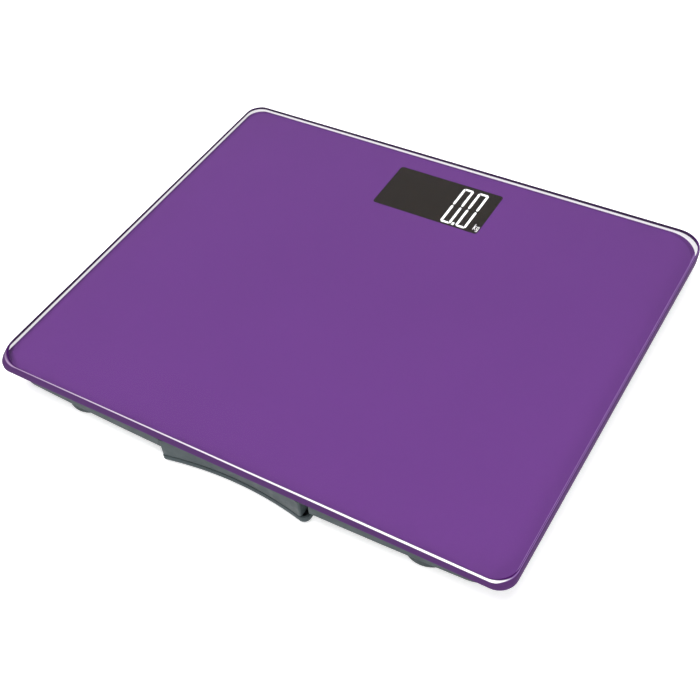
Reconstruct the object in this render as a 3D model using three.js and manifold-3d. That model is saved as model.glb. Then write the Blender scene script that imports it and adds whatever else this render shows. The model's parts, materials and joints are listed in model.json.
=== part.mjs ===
// Digital bathroom scale: a glass platform over a slim plastic base, four load-cell feet, a display
// under the glass and a two-cell battery pod under the front edge.
// Millimetres, +Z up. The origin is on the floor, under the middle of the platform. +Y points away
// from the user, towards the display, and +X to the user's right.
import * as THREE from "three";
import { mergeVertices } from "three/addons/utils/BufferGeometryUtils.js";
import Module from "manifold-3d";

// ---------------------------------------------------------------- driving dimensions
const GAP = 0.3; // air left between two pieces that touch

const GLASS = { width: 359.5, depth: 300, corner: 11, backRight: 18, bottom: 22, top: 30 };
const GLASS_EDGE = { top: 1.1, bottom: 0.8 }; // the polished roundings of the rim
const PRINT = { thick: 0.3, inset: 1 }; // the colour layer on the glass's underside
const BASE = { halfX: 175.5, halfY: 146, bow: 3, corner: 24, bottom: 12.6, rim: 20, wall: 1.8 };
const BELLY = { halfX: 84, halfY: 118, y: 16, corner: 16, bottom: 10, slope: 6 }; // deeper middle
const FOOT = { x: 122.3, y: 126.3, radius: 17, top: 11.3, pad: 14, bore: 16.3, skirt: 18.6 };
const SKIRT_BOTTOM = 11.9; // lower edge of the base's ring round each foot
const BRACKET = { half: 17.6, earX: 20.5, earY: 8, ear: 4, earTop: 18.4 };
const CELL = { size: 30, bottom: 17.4, thick: 1.8, tongue: 9.5, slot: 1.1 }; // one load cell
const POD = { halfX: 50, back: -117, mid: -144.7, hollow: 4.9, corner: 1.5, backCorner: 4 };
const COVER = { bottom: 1.2, top: 6.9, wall: 1.6, edge: 3 };
const THUMB = { extra: 3.6, corner: 4.5 }; // the longer, rounder right end of the cover
const MOUTH = { extra: 5, corner: 3 }; // room for it in the base, to the right of the housing
const HINGE = { y: -114.2, z: 8.6, pin: 1.3, bore: 1.38, eye: 2.4, arm: [27, 30], lug: [30.3, 34] };
const BATTERY = { radius: 5.25, length: 43.3, nub: 1.9, nubLength: 1.2, y: -134.6, z: 8.75 };
const WINDOW = { x: 0, y: 112.6, width: 81.2, depth: 43.1 };
const BOARD = { width: 118, depth: 60, y: 100.2, bottom: 14.4, thick: 1 };
const BUTTON = { x: 0, y: 77, radius: 3.6 };
const SCREW = { head: 2.6, headHeight: 1.3, shank: 1.2 };

const FLOOR_TOP = BASE.bottom + BASE.wall; // upper face of the base shell's outer floor
const BELLY_TOP = BELLY.bottom + BASE.wall; // upper face of its deeper middle
const CEILING = GLASS.bottom - GAP - PRINT.thick - GAP; // highest level under the print
const CORNERS = { fl: [-1, -1], fr: [1, -1], bl: [-1, 1], br: [1, 1] };

const wasm = await Module();
wasm.setup();

// ---------------------------------------------------------------- materials
const plain = (color, roughness, metalness = 0) =>
  new THREE.MeshStandardMaterial({ color, roughness, metalness });
const MATERIAL = {
  glass: new THREE.MeshStandardMaterial({
    color: 0x8a62a6,
    roughness: 0.05,
    metalness: 0,
    transparent: true,
    opacity: 0.35,
  }),
  print: plain(0x63397f, 0.5),
  tape: plain(0xd8d8d4, 0.9),
  body: plain(0x5c6566, 0.5),
  foot: plain(0x4f5858, 0.55),
  rubber: plain(0x2a2d2d, 0.85),
  steel: plain(0xa8abad, 0.35, 1),
  spring: plain(0xc9c4b4, 0.3, 1),
  screw: plain(0x8e9194, 0.3, 1),
  gauge: plain(0xc87a32, 0.6),
  display: plain(0x3a3635, 0.2),
  backlight: plain(0xe8ecee, 0.4),
  frame: plain(0x2a2c2d, 0.6),
  board: plain(0x1f5a3a, 0.5),
  chip: plain(0x17181a, 0.45),
  wire: plain(0xd9d9d6, 0.5),
  redWire: plain(0xb3242a, 0.5),
  blackWire: plain(0x1c1c1e, 0.5),
  battery: plain(0x3b6f4a, 0.35),
};

// ---------------------------------------------------------------- solids
function solid(geometry) {
  const bare = geometry.index ? geometry.toNonIndexed() : geometry.clone();
  for (const name of Object.keys(bare.attributes)) {
    if (name !== "position") bare.deleteAttribute(name);
  }
  const merged = mergeVertices(bare, 1e-4);
  return new wasm.Manifold(
    new wasm.Mesh({
      numProp: 3,
      vertProperties: merged.attributes.position.array,
      triVerts: new Uint32Array(merged.index.array),
    }),
  );
}

function geometryOf(manifold) {
  const mesh = manifold.getMesh();
  const points = new Float32Array(mesh.numVert * 3);
  for (let i = 0; i < mesh.numVert; i++) {
    points.set(mesh.vertProperties.subarray(i * mesh.numProp, i * mesh.numProp + 3), i * 3);
  }
  const geometry = new THREE.BufferGeometry();
  geometry.setAttribute("position", new THREE.BufferAttribute(points, 3));
  geometry.setIndex(new THREE.BufferAttribute(mesh.triVerts, 1));
  geometry.computeVertexNormals();
  return geometry;
}

// The first list's solids joined, less the second list's.
function carve(kept, removed = []) {
  let made = solid(kept[0]);
  for (const other of kept.slice(1)) made = made.add(solid(other));
  for (const other of removed) made = made.subtract(solid(other));
  return geometryOf(made);
}

const scale = new THREE.Group();
scale.name = "bathroom_scale";

function place(name, geometry, material, x = 0, y = 0, z = 0) {
  const mesh = new THREE.Mesh(geometry, material);
  mesh.name = name;
  mesh.position.set(x, y, z);
  scale.add(mesh);
  return mesh;
}

// A block given by its low corner and its high corner.
function block(x0, y0, z0, x1, y1, z1) {
  return new THREE.BoxGeometry(x1 - x0, y1 - y0, z1 - z0).translate(
    (x0 + x1) / 2,
    (y0 + y1) / 2,
    (z0 + z1) / 2,
  );
}

// An upright cylinder from z0 to z1.
function post(radius, z0, z1, x = 0, y = 0, sides = 24) {
  return new THREE.CylinderGeometry(radius, radius, z1 - z0, sides)
    .rotateX(Math.PI / 2)
    .translate(x, y, (z0 + z1) / 2);
}

// A cylinder lying along X, from x0 to x1.
function rod(radius, x0, x1, y, z, sides = 20) {
  return new THREE.CylinderGeometry(radius, radius, x1 - x0, sides)
    .rotateZ(Math.PI / 2)
    .translate((x0 + x1) / 2, y, z);
}

// A turned piece about Z from a list of [radius, z] that starts and ends on the axis, bottom first.
function turned(profile, sides = 40) {
  const points = profile.map(([r, z]) => new THREE.Vector2(r, z));
  return new THREE.LatheGeometry(points, sides).rotateX(Math.PI / 2);
}

function arc(cx, cy, radius, from, to, steps) {
  return Array.from({ length: steps + 1 }, (_, i) => {
    const angle = from + ((to - from) * i) / steps;
    return new THREE.Vector2(cx + radius * Math.cos(angle), cy + radius * Math.sin(angle));
  });
}

// ---------------------------------------------------------------- outlines, counter-clockwise
// Each takes an inset, by which every side moves in.
const QUARTER = Math.PI / 2;

// The radius is one number, or one for each corner from the front right on.
function rectangle(halfX, halfY, radius, inset = 0, steps = 8) {
  const signs = [[1, -1], [1, 1], [-1, 1], [-1, -1]];
  return signs.flatMap(([sx, sy], k) => {
    const r = Math.max((Array.isArray(radius) ? radius[k] : radius) - inset, 0.2);
    const cx = sx * (halfX - inset - r);
    const cy = sy * (halfY - inset - r);
    return arc(cx, cy, r, (k - 1) * QUARTER, k * QUARTER, steps);
  });
}

// The glass is rounder at its back right corner than at the other three.
const glassOutline = (inset) => {
  const { width, depth, corner, backRight } = GLASS;
  return rectangle(width / 2, depth / 2, [corner, backRight, corner, corner], inset, 10);
};

// The base's outline: a rounded rectangle whose front and back sides bow outwards.
function baseOutline(inset) {
  const corners = rectangle(BASE.halfX, BASE.halfY, BASE.corner, inset, 6);
  const reach = BASE.halfX - BASE.corner;
  const bowed = [];
  const steps = 12;
  const side = (sign) => {
    for (let i = 1; i < steps; i++) {
      const x = sign * reach * ((2 * i) / steps - 1);
      const out = BASE.bow * (1 - (x / reach) ** 2);
      bowed.push(new THREE.Vector2(x, -sign * (BASE.halfY - inset + out)));
    }
  };
  const half = corners.length / 2;
  side(1);
  bowed.push(...corners.slice(0, half));
  side(-1);
  bowed.push(...corners.slice(half));
  return bowed;
}

// The battery pod's outline, with its right end moved out by `extra` and rounded by `corner` in front.
// Its front is a hollow arc, whose centre lies in front of the scale.
const hollowChord = 47.5; // half the width of the hollow
const hollowRadius = (hollowChord ** 2 + POD.hollow ** 2) / (2 * POD.hollow);
const hollowCentre = POD.mid - hollowRadius;

function podOutline(inset, { extra, corner } = { extra: 0, corner: POD.corner }) {
  const back = Math.max(POD.backCorner - inset, 0.3);
  const by = POD.back - inset - back;
  const [left, right] = [[POD.halfX, POD.corner], [POD.halfX + extra, corner]].map(([half, round]) => {
    const r = Math.max(round - inset, 0.3);
    const cx = half - inset - r;
    const reach = hollowRadius + inset + r;
    const cy = hollowCentre + Math.sqrt(reach ** 2 - cx ** 2);
    return { r, cx, cy, lean: Math.asin(cx / reach), bx: half - inset - back };
  });
  const front = arc(0, hollowCentre, hollowRadius + inset, QUARTER + left.lean, QUARTER - right.lean, 20);
  return [
    ...front.slice(1, -1),
    ...arc(right.cx, right.cy, right.r, -QUARTER - right.lean, 0, 6),
    ...arc(right.bx, by, back, 0, QUARTER, 5),
    ...arc(-left.bx, by, back, QUARTER, 2 * QUARTER, 5),
    ...arc(-left.cx, left.cy, left.r, 2 * QUARTER, 3 * QUARTER + left.lean, 6),
  ];
}

const coverOutline = (inset) => podOutline(inset, THUMB);
const mouthOutline = (inset) => podOutline(inset, MOUTH);

// A closed solid through a stack of outlines, given as [inset, z] from the bottom up.
function stack(outline, levels) {
  const rings = levels.map(([inset, z]) =>
    outline(inset).map((p) => new THREE.Vector3(p.x, p.y, z)),
  );
  const count = rings[0].length;
  const points = rings.flat().flatMap((p) => [p.x, p.y, p.z]);
  const faces = [];
  for (let k = 0; k + 1 < rings.length; k++) {
    for (let i = 0; i < count; i++) {
      const a = k * count + i;
      const b = k * count + ((i + 1) % count);
      faces.push(a, b, b + count, a, b + count, a + count);
    }
  }
  const cap = THREE.ShapeUtils.triangulateShape(rings[0], []);
  const last = (rings.length - 1) * count;
  for (const [a, b, c] of cap) {
    faces.push(a, c, b);
    faces.push(last + a, last + b, last + c);
  }
  const geometry = new THREE.BufferGeometry();
  geometry.setAttribute("position", new THREE.Float32BufferAttribute(points, 3));
  geometry.setIndex(faces);
  return geometry;
}

// Levels for a stack whose lower edge is rounded, starting at the height z.
function roundedFoot(radius, z, steps) {
  return Array.from({ length: steps + 1 }, (_, i) => {
    const angle = (QUARTER * i) / steps;
    return [radius * (1 - Math.sin(angle)), z + radius * (1 - Math.cos(angle))];
  });
}

// Levels for a stack whose upper edge is rounded, ending at the height z.
const roundedHead = (radius, z, steps) =>
  roundedFoot(radius, 0, steps).map(([inset, up]) => [inset, z - up]).reverse();

// ---------------------------------------------------------------- platform
function platform() {
  const { top, bottom } = GLASS_EDGE;
  const levels = [...roundedFoot(bottom, GLASS.bottom, 3), ...roundedHead(top, GLASS.top, 4)];
  place("glass_platform", stack(glassOutline, levels), MATERIAL.glass);
}

// The colour printed on the glass's underside, left clear over the display.
function colourPrint() {
  const { x, y, width, depth } = WINDOW;
  const z1 = GLASS.bottom - GAP;
  const z0 = z1 - PRINT.thick;
  const window = new THREE.ExtrudeGeometry(
    new THREE.Shape(rectangle(width / 2, depth / 2, 2.5, 0, 4)),
    { depth: 4, bevelEnabled: false },
  ).translate(x, y, z0 - 2);
  const sheet = stack(glassOutline, [[PRINT.inset, z0], [PRINT.inset, z1]]);
  place("colour_print", carve([sheet], [window]), MATERIAL.print);
}

// The double-sided foam frame that bonds the base shell's rim to the glass.
function foamTape() {
  const bottom = BASE.rim + GAP;
  const ring = carve(
    [stack(baseOutline, [[0.4, bottom], [0.4, CEILING]])],
    [
      stack(baseOutline, [[2.2, bottom - 1], [2.2, CEILING + 1]]),
      stack(mouthOutline, [[-0.6, bottom - 1], [-0.6, CEILING + 1]]),
      podMouth(0.6, bottom - 1),
    ],
  );
  place("foam_tape", ring, MATERIAL.tape);
}

// ---------------------------------------------------------------- base shell
const bracketScrews = (sx, sy) =>
  [-1, 1].map((side) => [
    sx * FOOT.x + side * BRACKET.earX,
    sy * (FOOT.y - BRACKET.earY),
  ]);

// The space in front of the pod's hollow, out past the platform's edge.
const podMouth = (margin, bottom) =>
  block(
    -POD.halfX - margin,
    -GLASS.depth / 2 - 5,
    bottom,
    POD.halfX + MOUTH.extra + margin,
    POD.mid + 3,
    GLASS.top,
  );

const bellyOutline = (inset) =>
  rectangle(BELLY.halfX, BELLY.halfY, BELLY.corner, inset, 6).map(
    (p) => new THREE.Vector2(p.x, p.y + BELLY.y),
  );

function baseShell() {
  const { bottom, slope } = BELLY;
  const outside = [
    stack(baseOutline, [...roundedFoot(1.2, BASE.bottom, 3), [0, BASE.rim]]),
    stack(bellyOutline, [[slope, bottom], [slope - 1.4, bottom + 0.4], [0, BASE.bottom + 0.2]]),
  ];
  const holes = [
    stack(mouthOutline, [[-GAP, 0], [-GAP, GLASS.top]]),
    podMouth(GAP, 0),
    post(BUTTON.radius + 0.35, 0, GLASS.top, BUTTON.x, BUTTON.y, 28),
  ];
  for (const [sx, sy] of Object.values(CORNERS)) {
    const x = sx * FOOT.x;
    const y = sy * FOOT.y;
    outside.push(post(FOOT.skirt, SKIRT_BOTTOM, FLOOR_TOP - 0.5, x, y, 36));
    holes.push(post(FOOT.bore, 0, GLASS.top, x, y, 36));
    for (const [hx, hy] of bracketScrews(sx, sy)) {
      holes.push(post(SCREW.shank + GAP, 0, GLASS.top, hx, hy, 12));
      holes.push(post(SCREW.head + GAP, 0, BASE.bottom + 0.9, hx, hy, 20));
    }
  }
  for (const [x, y] of housingScrews) holes.push(post(SCREW.shank + GAP, BASE.bottom + 0.6, 20, x, y, 12));
  const room = [
    stack(baseOutline, [[BASE.wall, FLOOR_TOP], [BASE.wall, GLASS.top]]),
    stack(bellyOutline, [
      [slope + 1, BELLY_TOP],
      [1.4, FLOOR_TOP + 0.1],
      [1.4, FLOOR_TOP + 1],
    ]),
  ];
  const ribTop = FLOOR_TOP + 0.5;
  const ribs = [
    ...[-40, 40].map((x) => block(x - 0.6, -90, bottom + 1, x + 0.6, 62, ribTop)),
    ...[-70, -20, 30].map((y) => block(-80, y - 0.6, bottom + 1, 80, y + 0.6, ribTop)),
    ...[-1, 1].map((side) =>
      block(side * 100 - 0.6, -90, FLOOR_TOP - 0.5, side * 100 + 0.6, 90, ribTop),
    ),
  ];
  const pegs = boardHoles().map(([x, y]) => post(2.6, bottom + 1, BOARD.bottom - GAP, x, y, 16));
  const pilots = boardHoles().map(([x, y]) => post(SCREW.shank + GAP, BELLY_TOP, 20, x, y, 12));
  const shell = carve(outside, room);
  place("base_shell", carve([shell, ...ribs, ...pegs], [...holes, ...pilots]), MATERIAL.body);
}

// ---------------------------------------------------------------- feet
// The carrier glued under the glass, which holds the load cell by its outer frame.
function footBracket(name, sx, sy) {
  const x = sx * FOOT.x;
  const y = sy * FOOT.y;
  const { half, ear, earTop } = BRACKET;
  const bottom = FLOOR_TOP + GAP;
  const screws = bracketScrews(sx, sy);
  const ears = screws.map(([hx, hy]) => post(ear, bottom, earTop, hx, hy, 20));
  const webs = screws.map(([hx, hy]) =>
    block(Math.min(hx, x), hy - ear + 0.5, bottom, Math.max(hx, x), hy + ear - 0.5, earTop),
  );
  const pilots = screws.map(([hx, hy]) => post(SCREW.shank + GAP, 0, earTop - 0.8, hx, hy, 12));
  const fit = CELL.size / 2 + GAP;
  const ledge = CELL.bottom - GAP;
  const cellTop = CELL.bottom + CELL.thick + GAP;
  const carrier = stack(() => rectangle(half, half, 2.5, 0, 4), [[0, bottom], [0, CEILING]]);
  place(
    `foot_bracket_${name}`,
    carve(
      [carrier.translate(x, y, 0), ...ears, ...webs],
      [
        block(x - fit, y - fit, ledge, x + fit, y + fit, cellTop),
        block(x - fit, y - 10, bottom - 1, x + fit, y + 10, ledge + 0.1),
        block(x - 10, y - fit, bottom - 1, x + 10, y + fit, ledge + 0.1),
        post(11, cellTop - 0.1, cellTop + 0.9, x, y, 28),
        block(x - 3, y - sy * half - 4, bottom - 1, x + 3, y - sy * half + 4, bottom + 3),
        ...pilots,
      ],
    ),
    MATERIAL.body,
  );
}

// A half-bridge load cell: a steel plate whose middle tongue bends inside an outer frame.
function loadCell(name, sx, sy) {
  const { size, bottom, thick, tongue, slot } = CELL;
  const x = sx * FOOT.x;
  const y = sy * FOOT.y;
  const top = bottom + thick;
  const side = tongue - 0.9;
  const slits = [-side, side].map((at) =>
    block(x + at - slot, y - tongue, bottom - 1, x + at + slot, y + tongue, top + 1),
  );
  const end = y + sy * tongue;
  slits.push(block(x - side - slot, end - slot, bottom - 1, x + side + slot, end + slot, top + 1));
  const corners = rectangle(size / 2, size / 2, 3, 0, 4);
  const plate = stack(() => corners, [[0, bottom], [0, top]]).translate(x, y, 0);
  place(`load_cell_${name}`, carve([plate], slits), MATERIAL.steel);
  const gaugeY = y - sy * (tongue - 2);
  place(
    `strain_gauge_${name}`,
    block(x - 4, gaugeY - 2.2, bottom - GAP - 0.4, x + 4, gaugeY + 2.2, bottom - GAP),
    MATERIAL.gauge,
  );
}

// The foot: a hollow disc with a boss that pushes the load cell's tongue, and its rubber pad.
function foot(name, sx, sy) {
  const { radius, top, pad } = FOOT;
  const x = sx * FOOT.x;
  const y = sy * FOOT.y;
  const bossTop = CELL.bottom - GAP;
  const recess = 1.3 + GAP;
  const disc = turned([
    [0, recess],
    [pad + GAP, recess],
    [pad + GAP, 0.9],
    [radius - 1.8, 0.9],
    [radius - 0.6, 1.5],
    [radius, 2.9],
    [radius, top - 1],
    [radius - 0.8, top],
    [radius - 2.2, top],
    [radius - 2.6, recess + 2],
    [6.2, recess + 2],
    [5, top],
    [4.2, bossTop - 1.5],
    [2.8, bossTop],
    [0, bossTop],
  ], 36);
  place(`foot_disc_${name}`, disc, MATERIAL.foot, x, y);
  const sole = turned([[0, 0], [pad - 1, 0], [pad, 0.5], [pad, 1.3], [0, 1.3]], 36);
  place(`foot_pad_${name}`, sole, MATERIAL.rubber, x, y);
}

// A pan-head screw about Z from its head's flat end at z. It points up, or down when turned over.
function screwShape(z, length, points) {
  const { head, headHeight, shank } = SCREW;
  const body = turned([
    [0, 0],
    [head * 0.7, 0],
    [head, 0.5],
    [head, headHeight],
    [shank, headHeight],
    [shank, length - 0.8],
    [0, length],
  ], 16);
  const cross = [block(-1.5, -0.3, -1, 1.5, 0.3, 0.7), block(-0.3, -1.5, -1, 0.3, 1.5, 0.7)];
  const made = carve([body], cross);
  return (points === "up" ? made : made.rotateX(Math.PI)).translate(0, 0, z);
}

function feet() {
  for (const [name, [sx, sy]] of Object.entries(CORNERS)) {
    footBracket(name, sx, sy);
    loadCell(name, sx, sy);
    foot(name, sx, sy);
    bracketScrews(sx, sy).forEach(([x, y], i) => {
      const shape = screwShape(BASE.bottom + 0.6 - SCREW.headHeight, 4.6, "up");
      place(`bracket_screw_${name}_${i + 1}`, shape, MATERIAL.screw, x, y);
    });
  }
}

// ---------------------------------------------------------------- battery pod
const HOUSING = { bottom: COVER.top + GAP, roof: 14.5, roofThick: 1.6, wall: 1.8 };
const housingScrews = [-1, 1].map((side) => [side * (POD.halfX + 8.5), POD.back - 10]);
const DIVIDER = BATTERY.y + BATTERY.radius + 0.6; // wall behind the two cells
const rightAndLeft = [-1, 1];

// A block between two distances from the middle, on the side given by the sign.
function sideBlock(side, x0, x1, y0, y1, z0, z1) {
  return block(Math.min(side * x0, side * x1), y0, z0, Math.max(side * x0, side * x1), y1, z1);
}

// A rod along X between two distances from the middle, on the side given by the sign.
function sideRod(side, radius, x0, x1, y, z, sides) {
  return rod(radius, Math.min(side * x0, side * x1), Math.max(side * x0, side * x1), y, z, sides);
}

// The fixed upper half of the pod, open below, with two lugs that carry the cover's pins.
function batteryHousing() {
  const { bottom, roof, roofThick, wall } = HOUSING;
  const outer = stack(podOutline, [[0, bottom], [0, CEILING]]);
  const cellRoom = stack(podOutline, [[wall, bottom - 1], [wall, roof]]);
  const upperRoom = stack(podOutline, [[wall, roof + roofThick], [wall, GLASS.top]]);
  const ears = housingScrews.map(([x, y]) => {
    const side = Math.sign(x);
    return sideBlock(side, POD.halfX - 1, Math.abs(x) + 5, y - 5, y + 5, FLOOR_TOP + GAP, FLOOR_TOP + 2.3);
  });
  const [lugIn, lugOut] = HINGE.lug;
  const lugs = rightAndLeft.flatMap((side) => [
    sideRod(side, HINGE.eye, lugIn, lugOut, HINGE.y, HINGE.z, 24),
    sideBlock(side, lugIn, lugOut, POD.back - 1, HINGE.y + HINGE.eye, HINGE.z, BASE.bottom - 0.6),
  ]);
  const divider = block(-POD.halfX + 1, DIVIDER, bottom + 0.5, POD.halfX - 1, DIVIDER + 1.3, roof + 0.5);
  const leadHoles = rightAndLeft.map((side) =>
    sideBlock(side, 38.8, 41.2, DIVIDER - 1, POD.back + 5, FLOOR_TOP + 1, FLOOR_TOP + 3.4),
  );
  place(
    "battery_housing",
    carve(
      [carve([outer, ...ears], [cellRoom, upperRoom]), ...lugs, divider],
      [
        ...leadHoles,
        ...rightAndLeft.map((side) =>
          sideRod(side, HINGE.bore, lugIn - 1, lugOut + 1, HINGE.y, HINGE.z, 24),
        ),
        ...housingScrews.map(([x, y]) => post(SCREW.shank + GAP, 0, GLASS.top, x, y, 12)),
      ],
    ),
    MATERIAL.body,
  );
}

// The lower half of the pod, a tray that swings down about its rear pins.
function batteryCover() {
  const { bottom, top, wall, edge } = COVER;
  const outer = stack(coverOutline, [...roundedFoot(edge, bottom, 4), [0, top]]);
  const room = stack(coverOutline, [
    [wall + 1, bottom + wall],
    [wall, bottom + wall + 1],
    [wall, top + 1],
  ]);
  const [armIn, armOut] = HINGE.arm;
  const arms = rightAndLeft.flatMap((side) => [
    sideBlock(side, armIn, armOut, POD.back - 1, HINGE.y, top - 2.6, top),
    sideRod(side, HINGE.eye, armIn, armOut, HINGE.y, HINGE.z, 24),
    sideRod(side, HINGE.pin, armOut - 0.5, HINGE.lug[1] - 0.2, HINGE.y, HINGE.z, 24),
  ]);
  const tongueBack = POD.mid + HOUSING.wall + GAP;
  const tongue = block(-7, tongueBack - 0.6, bottom + 1, 7, tongueBack + 0.8, top + 3);
  const clear = block(-7.4, POD.mid, top, 7.4, tongueBack, top + 4);
  const grip = [0, 1, 2, 3, 4].map((i) => {
    const y = POD.mid + 6.5 + i * 2.4;
    return block(-15 + i * 1.4, y, bottom - 1, 15 - i * 1.4, y + 1, bottom + 0.5);
  });
  const tray = carve([outer], [room, ...grip]);
  place("battery_cover", carve([carve([tray, tongue], [clear]), ...arms]), MATERIAL.body);
}

// Two cells lie end to end, positive ends towards +X.
function batteries() {
  const { radius, length, nub, nubLength, y, z } = BATTERY;
  const starts = { left: -length - nubLength, right: GAP };
  for (const [name, start] of Object.entries(starts)) {
    const end = start + length;
    const cell = carve([
      rod(radius, start, end, y, z, 28),
      rod(nub, end - 0.5, end + nubLength - GAP, y, z, 14),
    ]);
    place(`battery_${name}`, cell, MATERIAL.battery);
  }
  const wallX = POD.halfX - HOUSING.wall - GAP;
  const tip = starts.right + length + nubLength;
  place(
    "battery_plate_contact",
    carve([
      block(wallX - 0.5, y - 4, z - 1, wallX, y + 4, HOUSING.roof - GAP),
      rod(2.6, tip, wallX - 0.4, y, z, 14),
    ]),
    MATERIAL.spring,
  );
  place("battery_spring_contact", springContact(-wallX, starts.left - GAP, y, z), MATERIAL.spring);
}

// A back plate and a coil that presses on the cell's flat end.
function springContact(plateX, tipX, y, z) {
  const wire = 0.35;
  const start = plateX + 0.4;
  const reach = tipX - wire - start;
  const steps = 40;
  const points = Array.from({ length: steps + 1 }, (_, i) => {
    const t = i / steps;
    const radius = 3.2 - 0.9 * t;
    const angle = 2 * Math.PI * 2.2 * t;
    return new THREE.Vector3(
      start + reach * t,
      y + radius * Math.cos(angle),
      z + radius * Math.sin(angle),
    );
  });
  const plate = block(plateX, y - 4, z - 2.8, plateX + 0.5, y + 4, HOUSING.roof - GAP);
  return carve([plate, tube(points, wire, 6, steps)]);
}

function podScrews() {
  housingScrews.forEach(([x, y], i) => {
    const top = FLOOR_TOP + 2.3 + GAP + SCREW.headHeight;
    place(`housing_screw_${i + 1}`, screwShape(top, 4.6, "down"), MATERIAL.screw, x, y);
  });
}

// A round wire along a smooth curve through the points.
function tube(points, radius, sides, steps) {
  const section = new THREE.Shape(arc(0, 0, radius, 0, 2 * Math.PI * (1 - 1 / sides), sides - 1));
  const path = new THREE.CatmullRomCurve3(points);
  return new THREE.ExtrudeGeometry(section, { steps, extrudePath: path, bevelEnabled: false });
}

// ---------------------------------------------------------------- display and electronics
function boardHoles() {
  const x = BOARD.width / 2 - 4;
  const y = BOARD.depth / 2 - 4;
  return [[-x, -y], [x, -y], [x, y], [-x, y]].map(([px, py]) => [px, py + BOARD.y]);
}

function display() {
  const { x, y, width, depth } = WINDOW;
  const halfX = width / 2;
  const halfY = depth / 2;
  const overlap = 2;
  const panelBottom = CEILING - 1.7;
  const lightTop = panelBottom - GAP;
  const around = (margin, z0, z1) =>
    block(x - halfX - margin, y - halfY - margin, z0, x + halfX + margin, y + halfY + margin, z1);
  place("lcd_panel", around(overlap, panelBottom, CEILING), MATERIAL.display);
  place("lcd_backlight", around(0, lightTop - 1.5, lightTop), MATERIAL.backlight);
  const frame = carve(
    [around(4.6, BOARD.bottom + BOARD.thick + GAP, CEILING)],
    [around(overlap + GAP, lightTop, GLASS.top), around(GAP, 0, GLASS.top)],
  );
  place("lcd_frame", frame, MATERIAL.frame);
}

function electronics() {
  const top = BOARD.bottom + BOARD.thick;
  const halfX = BOARD.width / 2;
  const front = BOARD.y - BOARD.depth / 2;
  const holes = boardHoles().map(([x, y]) => post(SCREW.shank + GAP, 0, GLASS.top, x, y, 12));
  const sheet = block(-halfX, front, BOARD.bottom, halfX, front + BOARD.depth, top);
  place("main_board", carve([sheet], holes), MATERIAL.board);
  boardHoles().forEach(([x, y], i) => {
    const shape = screwShape(top + GAP + SCREW.headHeight, 4.2, "down");
    place(`board_screw_${i + 1}`, shape, MATERIAL.screw, x, y);
  });
  const blob = turned([[0, -1.3], [3, -1.2], [6, -0.7], [7, 0], [0, 0]], 24);
  place("controller_chip", blob, MATERIAL.chip, 30, BOARD.y, BOARD.bottom - GAP);
  place(
    "wire_connector",
    block(-20, front + 1, top + GAP, 20, front + 6, top + 2.8),
    MATERIAL.backlight,
  );
}

// The button in the base's underside and the snap dome on the board that it presses.
function unitButton() {
  const { radius, x, y } = BUTTON;
  const flange = BELLY_TOP + GAP;
  const domeTop = BOARD.bottom - GAP;
  const domeBottom = domeTop - 0.9;
  const cap = turned([
    [0, BELLY.bottom - 0.7],
    [radius - 0.8, BELLY.bottom - 0.7],
    [radius, BELLY.bottom - 0.2],
    [radius, flange],
    [radius + 1.5, flange],
    [radius + 1.5, flange + 0.5],
    [1, flange + 0.5],
    [1, domeBottom - GAP],
    [0, domeBottom - GAP],
  ], 28);
  place("unit_button", cap, MATERIAL.foot, x, y);
  const dome = turned([
    [0, domeBottom],
    [1.2, domeBottom],
    [2.9, domeTop - 0.2],
    [2.9, domeTop],
    [0, domeTop],
  ], 24);
  place("unit_dome", dome, MATERIAL.spring, x, y);
}

// ---------------------------------------------------------------- internal wiring
const WIRE = { radius: 0.8, lead: 0.6, z: FLOOR_TOP + 1.9 };

// Each route starts at its foot or cell contact and ends at the connector's front face.
function wiring() {
  const end = BOARD.y - BOARD.depth / 2 + 0.7;
  const wire = (name, route, radius, material) => {
    const points = route.map(([x, y]) => new THREE.Vector3(x, y, WIRE.z));
    place(name, tube(points, radius, 6, 26), material);
  };
  const footEdge = FOOT.y - BRACKET.half - GAP;
  for (const [name, [sx, sy]] of Object.entries(CORNERS)) {
    const route = sy < 0
      ? [[FOOT.x, -footEdge], [118, -92], [92, -50], [52, 14], [12, 44], [9, 58], [9, end]]
      : [[FOOT.x, footEdge], [118, 92], [100, 70], [76, 52], [24, 50], [15, 60], [15, end]];
    wire(`load_cell_wire_${name}`, route.map(([x, y]) => [sx * x, y]), WIRE.radius, MATERIAL.wire);
  }
  const leads = { battery_lead_red: [1, MATERIAL.redWire], battery_lead_black: [-1, MATERIAL.blackWire] };
  for (const [name, [side, material]] of Object.entries(leads)) {
    const route = [[40, POD.back + GAP], [38, POD.back + 14], [16, -70], [5, -20], [3, 30], [3, end]];
    wire(name, route.map(([x, y]) => [side * x, y]), WIRE.lead, material);
  }
}

platform();
colourPrint();
foamTape();
baseShell();
feet();
batteryHousing();
batteryCover();
batteries();
podScrews();
display();
electronics();
unitButton();
wiring();

export default scale;
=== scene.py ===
import json
import math

import bmesh
import bpy
from mathutils import Matrix, Vector
from mathutils.geometry import tessellate_polygon


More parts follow.
